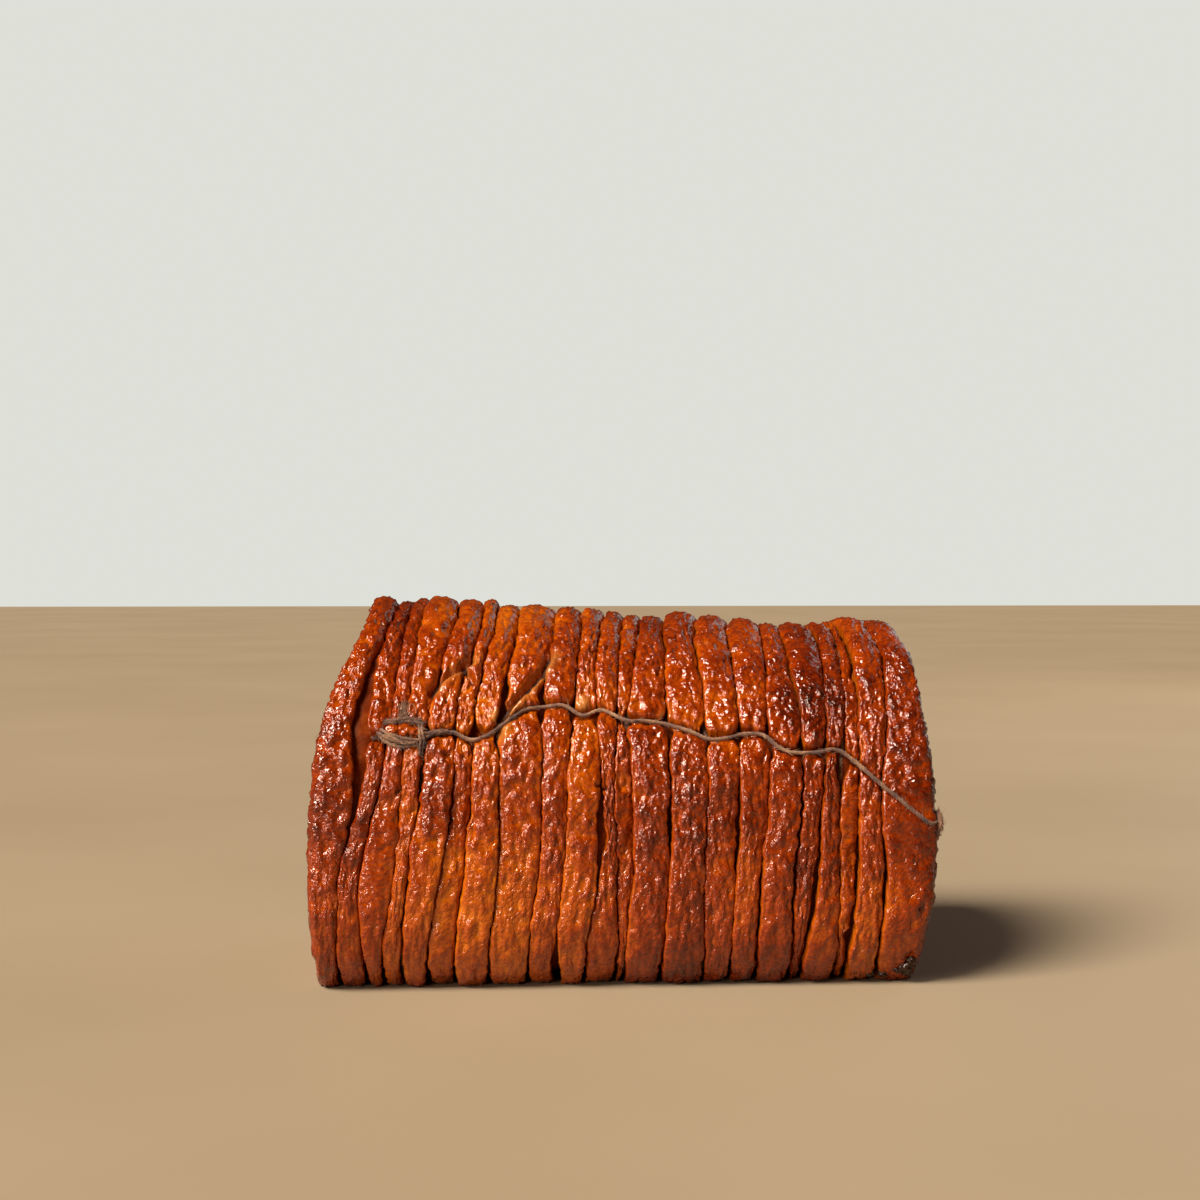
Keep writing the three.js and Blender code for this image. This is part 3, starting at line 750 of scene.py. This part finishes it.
def raise_blisters(piece):
    """Displaces a strip, keeps it above the floor, and gives back how far each vertex moved out."""
    before = coordinates(piece)
    facing = np.empty(len(before) * 3)
    piece.data.vertex_normals.foreach_get("vector", facing)
    facing = facing.reshape(-1, 3)
    displace(piece, LUMPS, 1.7, "lumpy")
    displace(piece, BLISTERS, -1.9, "blistered", 0.3)
    displace(piece, BEADS, -0.75, "blistered", 0.3)
    displace(piece, GRAIN, 0.25, "blistered")
    after = coordinates(piece)
    relief = np.einsum("ij,ij->i", after - before, facing) / MM
    relief *= np.sign(np.einsum("ij,ij->i", facing, before - before.mean(0)).sum())
    after[:, 2] = np.maximum(after[:, 2], 0)
    reshape(piece, after)
    return relief


def browning_and_painted_light(i, spot, x, along, cover):
    """How far the rind has baked: 0.4 is usual, and 1 is burnt.

    Two wide patches add painted shade low on the front and painted light over the top.
    """
    bake_and_painted_light = BAKE + 0.1 * drift(along, x, 30, 21) + 0.06 * drift(along, x, 9, 22)
    bake_and_painted_light = bake_and_painted_light + BAKE_STRIP * (chance(i, 9) - 0.5) + BAKE_BLISTER * (cover - 0.5)
    for at, high, reach, amount in PATCHES:
        away = np.hypot(spot[:, 0] - at, spot[:, 2] - high) / reach
        bake_and_painted_light = bake_and_painted_light + amount * np.exp(-away**2) * (spot[:, 1] < 0)
    return bake_and_painted_light


def make_strip(i):
    """One strip of crackling, all the way round the roll."""
    bpy.ops.object.select_all(action="DESELECT")
    bpy.ops.mesh.primitive_torus_add(major_segments=ROUND, minor_segments=ACROSS,
                                     major_radius=TORUS * MM, minor_radius=7 * MM)
    piece = bpy.context.object
    degrees, section = ring_grid(piece)
    high = smooth(np.sin(np.radians(degrees)), 0.55, 0.95)
    left, right = strip_edges(i, degrees, high)
    half = np.maximum((right - left) / 2, NARROWEST)
    rim = -1 if i == 0 else 1 if i == LAST else 0
    side, height, arc = section_profile(section, half.mean(), FRONT_SQUARE, rim)
    rounder = section_profile(section, half.mean(), TOP_SQUARE, rim)
    side = mix(side, rounder[0], TOP_ROUND * high)
    height = mix(height, rounder[1], TOP_ROUND * high)
    middle = (left + right) / 2
    tight = pinch(middle, degrees, SOFT_PULL) / PINCH
    x = middle + half * side * (1 - WAIST * tight)

    outer = envelope(x, degrees)
    front = np.cos(np.radians(degrees)) > 0
    level = section_at(x)[0] + outer * np.sin(np.radians(degrees))
    bare = laid_bare(x, degrees, level) * front
    top = strip_crown(i, x, side, degrees, high, tight) - crack(x, level) * front
    edge = shoulder_drop(i, side, high)
    shoulder = top - edge
    root = outer - ROOT - (END_ROOT if rim else 0)
    radius = np.where(height > 0, shoulder + edge * height, shoulder + (shoulder - root) * height)
    reshape(piece, place(x, degrees, radius))

    along = np.radians(degrees) * TORUS
    lay_out(piece, along / STRETCH + 0.9 * drift(along, arc, 5, 31),
            arc + 97 * i + 0.8 * drift(along, arc + 300, 4, 32))
    inner = -rim * side if rim else np.abs(side)
    lowest = np.where((inner < 0.3) & (rim != 0), -0.9, -0.1)
    crown = smooth(height, lowest, lowest + 0.85) * mix(1, 0.35, smooth(inner, 0.78, 0.97))
    cover = blister_cover(i, x, along, degrees, crown, tight, bare)
    weigh(piece, "blistered", cover)
    weigh(piece, "lumpy", mix(0.5, 1, crown))
    relief = raise_blisters(piece)
    store(piece, "relief", relief)
    # Browning, with painted shade low on the front and painted light over the top from two patches.
    store(piece, "bake_and_painted_light", browning_and_painted_light(i, coordinates(piece) / MM, x, along, cover))
    store(piece, "puffed", cover)
    store(piece, "bare", 0.7 * bare)
    store(piece, "fat", (1 - smooth(height, lowest - 0.3, lowest + 0.7)) * 0.8)
    finish_piece(piece, f"strip_{i + 1:02d}", CRACKLING, "crackling", "roast")


for number in range(len(STRIPS)):
    make_strip(number)

# ---- The meat inside -----------------------------------------------------------------------------

LAYER, WAVE = 26, 0.9  # the spiral of rolled meat on the ends
MIDDLE_LEFT, MIDDLE_RIGHT = -113, 111  # where the ends' middles are along the roll
FACE_MM, SIDE_MM = 75, 65  # radii that turn the sphere's sizes into millimetres for the patterns
MEAT_LEAST = 3.6  # the meat's least height over the floor, under the strips
# Where the floor of a gaping cut lies higher: the cut, how far beside it, the angles, and the lift.
FLOORS = [(1, 5, -12, 58, 3.2), (10, 4, -24, 8, 3.4), (19, 5, 8, 24, 2)]
FACE_SHARE = 0.24  # the share of the sphere's height that becomes each end's face


def face_along(hand, degrees, ring):
    """Where an end's face lies along the roll, at a share of the way out from its middle."""
    end = np.where(hand < 0, around(LEFT_END, degrees), around(RIGHT_END, degrees))
    return mix(np.where(hand < 0, MIDDLE_LEFT, MIDDLE_RIGHT), end - hand * LIP, ring**2)


def make_meat():
    """The rolled meat: its ends in spiral layers, and its side as the floor of the cuts."""
    bpy.ops.object.select_all(action="DESELECT")
    bpy.ops.mesh.primitive_uv_sphere_add(
        segments=300, ring_count=210, radius=1, rotation=(0, math.radians(90), 0))
    piece = bpy.context.object
    bpy.ops.object.transform_apply(location=False, rotation=True, scale=False)
    start = coordinates(piece)
    polar = np.arccos(np.clip(-start[:, 0] / np.linalg.norm(start, axis=1), -1, 1)) / math.pi
    degrees = np.degrees(np.arctan2(start[:, 2], -start[:, 1]))
    on_face = (polar < FACE_SHARE) | (polar > 1 - FACE_SHARE)
    hand = np.where(polar < 0.5, -1, 1)
    end = np.where(hand < 0, around(LEFT_END, degrees), around(RIGHT_END, degrees))
    out = np.where(hand < 0, polar, 1 - polar) / FACE_SHARE
    ring = np.clip(out, 0, 1)
    reach = envelope(end, degrees) - RIM
    turns = ring * reach / LAYER - hand * degrees / 360
    fade = smooth(ring, 0.1, 0.3) * (1 - smooth(ring, 0.85, 0.96))
    face_x = face_along(hand, degrees, ring) + hand * WAVE * np.cos(2 * math.pi * turns) * fade
    along = np.clip((polar - FACE_SHARE) / (1 - 2 * FACE_SHARE), 0, 1)
    inset = LIP + 0.5
    side_x = mix(around(LEFT_END, degrees) + inset, around(RIGHT_END, degrees) - inset, along)
    x = np.where(on_face, face_x, side_x)
    swell = smooth(np.minimum(along, 1 - along), 0, 0.03)
    radius = np.where(on_face, ring * reach, envelope(x, degrees) - RIM + (RIM - RIND) * swell)
    for cut, wide, start_at, end_at, lift in FLOORS:
        near = np.exp(-(((x - cut_line(cut, degrees)) / wide) ** 4))
        radius = radius + lift * near * within(turn_to(degrees), start_at, end_at) * ~on_face
    reshape(piece, place(x, degrees, radius, least=MEAT_LEAST))

    face_y, face_z = start[:, 1] * FACE_MM, start[:, 2] * FACE_MM
    lay_out(piece, np.where(on_face, face_y, np.radians(degrees) * SIDE_MM),
            np.where(on_face, face_z, x))
    weigh(piece, "all", np.where(on_face, smooth(ring, 0.02, 0.15), 1))
    displace(piece, LUMPS, 1.6, "all")
    displace(piece, GRAIN, 0.5, "all")
    seam = drift(face_y, face_z, 14, 71)
    rolled = np.cos(2 * math.pi * turns + 1 + seam) * fade
    store(piece, "layer", 0.22 + (0.16 + 0.08 * seam) * rolled)
    finish_piece(piece, "meat", FAT, "crackling", "roast")
    piece.data.materials.append(MEAT)
    faces = np.array([all(on_face[v] for v in face.vertices) for face in piece.data.polygons])
    piece.data.polygons.foreach_set("material_index", faces.astype(np.int32))


make_meat()

# ---- Twine ---------------------------------------------------------------------------------------

PLIES, LAY = 3, 4.2  # threads in a twine, and the length over which they go once round
PLY_OUT = 0.46  # how far each thread lies from the middle, as a share of the twine's radius
THIN = TWINE * 0.42  # radius of the thinner ends in the knot and in the loose bunch
CLEAR = 0.6  # how far a tie lies over the floor of its cut
SUNK = 3.4  # how deep the long twine lies below the strips' crowns
SLANT_SUNK = 0.05  # the share of it that is left on the slant


def curve_through(points, closed, step):
    """Evenly spaced points, in millimetres, on a smooth curve through the given ones."""
    points = np.array(points, float)
    n = len(points)
    at = lambda i: points[i % n] if closed else points[min(max(i, 0), n - 1)]
    dense = []
    for i in range(n if closed else n - 1):
        a, b, c, d = at(i - 1), at(i), at(i + 1), at(i + 2)
        for t in np.linspace(0, 1, 24, endpoint=False):
            dense.append(0.5 * (2 * b + (c - a) * t + (2 * a - 5 * b + 4 * c - d) * t**2
                                + (3 * b - a - 3 * c + d) * t**3))
    dense.append(points[0] if closed else points[-1])
    dense = np.array(dense)
    length = np.concatenate([[0], np.cumsum(np.linalg.norm(np.diff(dense, axis=0), axis=1))])
    count = max(int(length[-1] / step), 8)
    spots = np.linspace(0, length[-1], count + 1)
    if closed:
        spots = spots[:-1]
    return np.stack([np.interp(spots, length, dense[:, k]) for k in range(3)], axis=-1)


def frames_along(path, closed):
    """Directions across a path, carried along it without twisting."""
    ahead = np.roll(path, -1, axis=0) - np.roll(path, 1, axis=0)
    if not closed:
        ahead[0], ahead[-1] = path[1] - path[0], path[-1] - path[-2]
    ahead /= np.linalg.norm(ahead, axis=1, keepdims=True)
    first = np.cross(ahead[0], (0.3, 0.5, 0.81))
    across = [first / np.linalg.norm(first)]
    for direction in ahead[1:]:
        kept = across[-1] - direction * np.dot(across[-1], direction)
        across.append(kept / np.linalg.norm(kept))
    across = np.array(across)
    return across, np.cross(ahead, across)


def strand(curve, points, thickness, closed=False):
    """One thread of a curve object, through points in millimetres."""
    spline = curve.splines.new("POLY")
    spline.points.add(len(points) - 1)
    flat = np.ones((len(points), 4))
    flat[:, :3] = np.asarray(points) * MM
    spline.points.foreach_set("co", flat.ravel())
    spline.points.foreach_set("radius", np.broadcast_to(thickness, len(points)).astype(float))
    spline.use_cyclic_u = closed


def new_yarn(name, thread):
    """A curve object for threads of the given radius in millimetres."""
    curve = bpy.data.curves.new(name, "CURVE")
    curve.dimensions = "3D"
    curve.bevel_depth = thread * MM
    curve.bevel_resolution = 1
    curve.use_fill_caps = True
    return curve


def finish_yarn(name, curve, nodes):
    piece = bpy.data.objects.new(name, curve)
    bpy.context.scene.collection.objects.link(piece)
    alone(piece)
    bpy.ops.object.convert(target="MESH")
    piece = bpy.context.object
    points = coordinates(piece)
    points[:, 2] = np.maximum(points[:, 2], 0.0004)
    reshape(piece, points)
    finish_piece(piece, name, YARN, "twine", *nodes)


def twist(curve, path, radius, closed, hairs):
    """Twisted twine along a path, with stray fibres. Hairs are counted for each millimetre."""
    across, up = frames_along(path, closed)
    travelled = np.concatenate([[0], np.cumsum(np.linalg.norm(np.diff(path, axis=0), axis=1))])
    total = travelled[-1]
    turns = max(round(total / LAY), 1) if closed else total / LAY
    for ply in range(PLIES):
        angle = 2 * math.pi * (turns * travelled / total + ply / PLIES)
        offset = radius * PLY_OUT * (np.cos(angle)[:, None] * across + np.sin(angle)[:, None] * up)
        strand(curve, path + offset, 1 + 0.18 * drift(travelled, 31 * ply, 3, 4), closed)
    for _ in range(int(total * hairs)):
        i = rng.integers(0, len(path) - 1)
        angle = rng.uniform(0, 2 * math.pi)
        out = np.cos(angle) * across[i] + np.sin(angle) * up[i]
        tangent = np.cross(across[i], up[i]) * rng.choice((-1, 1))
        fray(curve, path[i] + out * radius * 0.7, tangent + 0.3 * out, rng.uniform(0.8, 2.2), out)


def fray(curve, start, heading, reach, bend):
    """One stray fibre."""
    loose = 0.25 * rng.normal(size=3)
    steps = [start + reach * (heading * t + np.array(bend) * 0.45 * t * t + loose * t**3)
             for t in (0, 0.3, 0.6, 0.85, 1)]
    strand(curve, steps, [0.3, 0.28, 0.24, 0.18, 0.08])


def over(route, out, back=False):
    """Points of the twine at a height over the envelope."""
    x, z = np.array(route, float).T
    degrees = angle_of(x, z, back)
    return list(place(x, degrees, envelope(x, degrees) + out(x)) / MM)


def over_corner(hand, degrees, turns):
    """Points of the twine over an end's rolled rim."""
    bend = RIM + TWINE + 0.4
    end = around(LEFT_END if hand < 0 else RIGHT_END, degrees)
    points = []
    for turn in np.radians(turns):
        x = end - hand * (RIM - bend * math.sin(turn))
        radius = envelope(x, degrees) - RIM + bend * math.cos(turn)
        points.append(place(x, degrees, radius) / MM)
    return points


def across_end(hand, start, end):
    """Points of the twine from corner to corner of an end, but never inside the meat."""
    points = []
    for t in (0.12, 0.3, 0.5, 0.7, 0.88):
        x, y, z = mix(np.array(start, float), np.array(end, float), t)
        height = z - section_at(x)[0]
        degrees = math.degrees(math.atan2(height, -y))
        edge = around(LEFT_END if hand < 0 else RIGHT_END, degrees)
        ring = min(math.hypot(y, height) / (envelope(edge, degrees) - RIM), 1)
        least = hand * face_along(hand, degrees, ring) + TWINE + 0.9
        points.append((hand * max(hand * x, float(least)), y, z))
    return points


def long_twine_route():
    sunk = lambda x: TWINE + 0.2 + (0.6 * drift(x, 0, 6, 61) - SUNK) * mix(
        1, SLANT_SUNK, smooth(x, 80, 92))
    right_front = over_corner(1, RIGHT_FRONT, (25, 58, 90))
    right_back = over_corner(1, RIGHT_BACK, (90, 58, 25))
    left_back = over_corner(-1, LEFT_BACK, (25, 58, 90))
    enters = np.array((-114.2, -56, 94))
    under = over(UNDER_FIRST_STRIP, lambda x: TWINE - mix(3.6, 5.6, within(x, -101, -84)))
    return [*over(FRONT_TWINE, sunk), *right_front, *across_end(1, right_front[-1], right_back[0]),
            *right_back, *over(BACK_TWINE, sunk, back=True), *left_back,
            *across_end(-1, left_back[-1], enters), *under]


yarn = new_yarn("long_twine_yarn", TWINE * 0.5)
twist(yarn, curve_through(long_twine_route(), True, 0.55), TWINE, True, hairs=1.1)

# The knot's strands: along the roll, height, and how far out from the crackling's crowns.
KNOT_STRANDS = [
    [(-93.4, 98.2, -3.4), (-90.8, 99.3, -1), (-85.4, 100, 0), (-79, 99.8, 0.2),
     (-74.6, 99.2, -1.2)],
    [(-93, 97.6, -3), (-89.5, 98.8, -0.6), (-84.3, 99.2, 0.2), (-79.4, 99.2, 0.4), (-75, 98.4, 0)],
    [(-91, 99, -1.4), (-86.4, 98.9, 0.4), (-81, 100.3, 0.6), (-76, 99.8, 0)],
    [(-93, 98, -3), (-90.3, 95.2, -0.6), (-88.2, 93.9, 0), (-85.1, 92.6, 0.3), (-81.2, 92.1, 0.4),
     (-75.6, 91.8, -0.4)],
    [(-92, 98.2, -2), (-89.3, 96.2, 0), (-87.2, 94.9, 0.5), (-83.8, 93.9, 0.8), (-80.2, 93.1, 0.8),
     (-75.1, 92.8, -0.2)],
    [(-91.6, 96.6, -2), (-89.3, 93.4, -0.8), (-85.6, 91.1, 0), (-81.8, 90.5, 0.2), (-78.1, 91, 0),
     (-75.4, 90.4, -1)],
    [(-88.6, 94.6, 0), (-85.4, 93.4, 0.9), (-81.6, 91.4, 1), (-77.4, 92.2, 0.5), (-75, 94.2, 0)],
    [(-76.8, 99.8, -0.8), (-76.2, 95.2, 0.7), (-75.8, 91.7, 0.5), (-76.3, 87.6, -1),
     (-76.6, 83, -3.6)],
    [(-75.2, 99.6, -0.8), (-75.4, 96.2, 0.6), (-74.5, 93.2, 0.4), (-75, 90.2, -0.6),
     (-75.6, 85, -3)],
    [(-75.3, 93, 0.2), (-72.7, 94.4, 0), (-70.1, 95.6, -0.2), (-66, 96.2, -1.4)],
    [(-75.8, 94.4, 0), (-73, 95.4, 0), (-69.4, 96.2, -0.6), (-66, 96.4, -1.8)],
]
CURL = [(-80.6, 102.6, 1.6), (-79.9, 104.2, 2.4), (-78.8, 104.4, 2.6), (-77.8, 103, 2.4),
        (-77.4, 101.6, 1.8)]
TUFT_HAIRS = 90  # the frayed hairs that stand up from the knot
BUNCH, BUNCH_AT = 9, (112.8, -65, 65)  # loose ends at the right end of the front, and where


def lay_on(points):
    """Points on the front, from places along the roll, heights and distances out."""
    x, z, out = np.array(points, float).T
    degrees = angle_of(x, z)
    return place(x, degrees, envelope(x, degrees) + out) / MM


for route in KNOT_STRANDS:
    twist(yarn, curve_through(lay_on(route), False, 0.35), THIN, False, hairs=4)
strand(yarn, curve_through(lay_on(CURL), False, 0.3), 0.3)
for _ in range(TUFT_HAIRS):
    foot = lay_on([(rng.uniform(-84.6, -80.4), 99.8, 0)])[0]
    tip = lay_on([(rng.normal(-81.8, 0.9), rng.uniform(102, 107), rng.uniform(-0.4, 1.6))])[0]
    fray(yarn, foot, tip - foot, 1, (rng.uniform(-1.6, 1.6), 0, 0))

# The bunch of loose ends hangs down.
for _ in range(BUNCH):
    start = np.array(BUNCH_AT) + rng.normal(size=3) * 0.5
    drop = start + np.array((0.8, -0.6, -3.6)) + rng.normal(size=3) * 0.5
    end = drop + np.array((-0.8, 0.6, -rng.uniform(3, 8))) + rng.normal(size=3) * 0.6
    twist(yarn, curve_through([start, drop, end], False, 0.35), THIN, False, hairs=3)
finish_yarn("long_twine_yarn", yarn, ["long_twine"])

for number, tie in enumerate(TIES):
    degrees = np.arange(-230, 130, 4.0)
    x = tie_line(tie, degrees)
    depth = envelope(x, degrees) - RIND + TIE + CLEAR
    route = place(x, degrees, depth, least=2.6) / MM
    yarn = new_yarn(f"tie_{number + 1}_yarn", TIE * 0.56)
    twist(yarn, curve_through(route, True, 0.7), TIE, True, hairs=0.05)
    finish_yarn(f"tie_{number + 1}_yarn", yarn, [f"tie_{number + 1}"])

# ---- Small pieces --------------------------------------------------------------------------------


def make_crumb(name, centre, size, bake_and_painted_light, *nodes):
    """A lump of rind from a sphere, roughened. Its centre and half sizes are in millimetres."""
    bpy.ops.object.select_all(action="DESELECT")
    bpy.ops.mesh.primitive_ico_sphere_add(subdivisions=4, radius=1)
    piece = bpy.context.object
    ball = coordinates(piece)
    u, v = np.arctan2(ball[:, 1], ball[:, 0]) * 3 + centre[0], ball[:, 2] * 4 + centre[2]
    swell = 1 + 0.28 * drift(u, v, 1.6, 51) + 0.16 * drift(u, v, 0.7, 52)
    points = (ball * swell[:, None] * np.array(size) + np.array(centre)) * MM
    points[:, 2] = np.maximum(points[:, 2], 0)
    reshape(piece, points)
    store(piece, "bake_and_painted_light", np.full(len(ball), bake_and_painted_light))
    store(piece, "puffed", np.ones(len(ball)))
    finish_piece(piece, name, CRACKLING, "crackling", *nodes)


# The rind that the knot squeezes out through its loop.
for number, (x, z, size) in enumerate([(-85.8, 96.4, 2.4), (-81.6, 96.2, 2.9), (-78, 95.6, 2.2)]):
    spot = lay_on([(x, z, -0.9)])[0]
    make_crumb(f"knot_rind_{number + 1}", spot, (size, 2.2, size * 0.95), 0.42, "roast")
BURNT_BITS = [(103.2, 6.6, 2.3), (104.9, 8.6, 1.6), (100.6, 5, 1.5), (95.2, 3.4, 1.6),
              (90.4, 3.2, 1.4), (85.6, 3.8, 1.2), (104.2, 3.8, 1.6)]
for number, (x, z, size) in enumerate(BURNT_BITS):
    spot = lay_on([(x, z, -0.8)])[0]
    make_crumb(f"burnt_bit_{number + 1}", spot, (size * 1.3, size, size), 1.05, "roast")

# ---- End -----------------------------------------------------------------------------------------

bpy.context.view_layer.update()
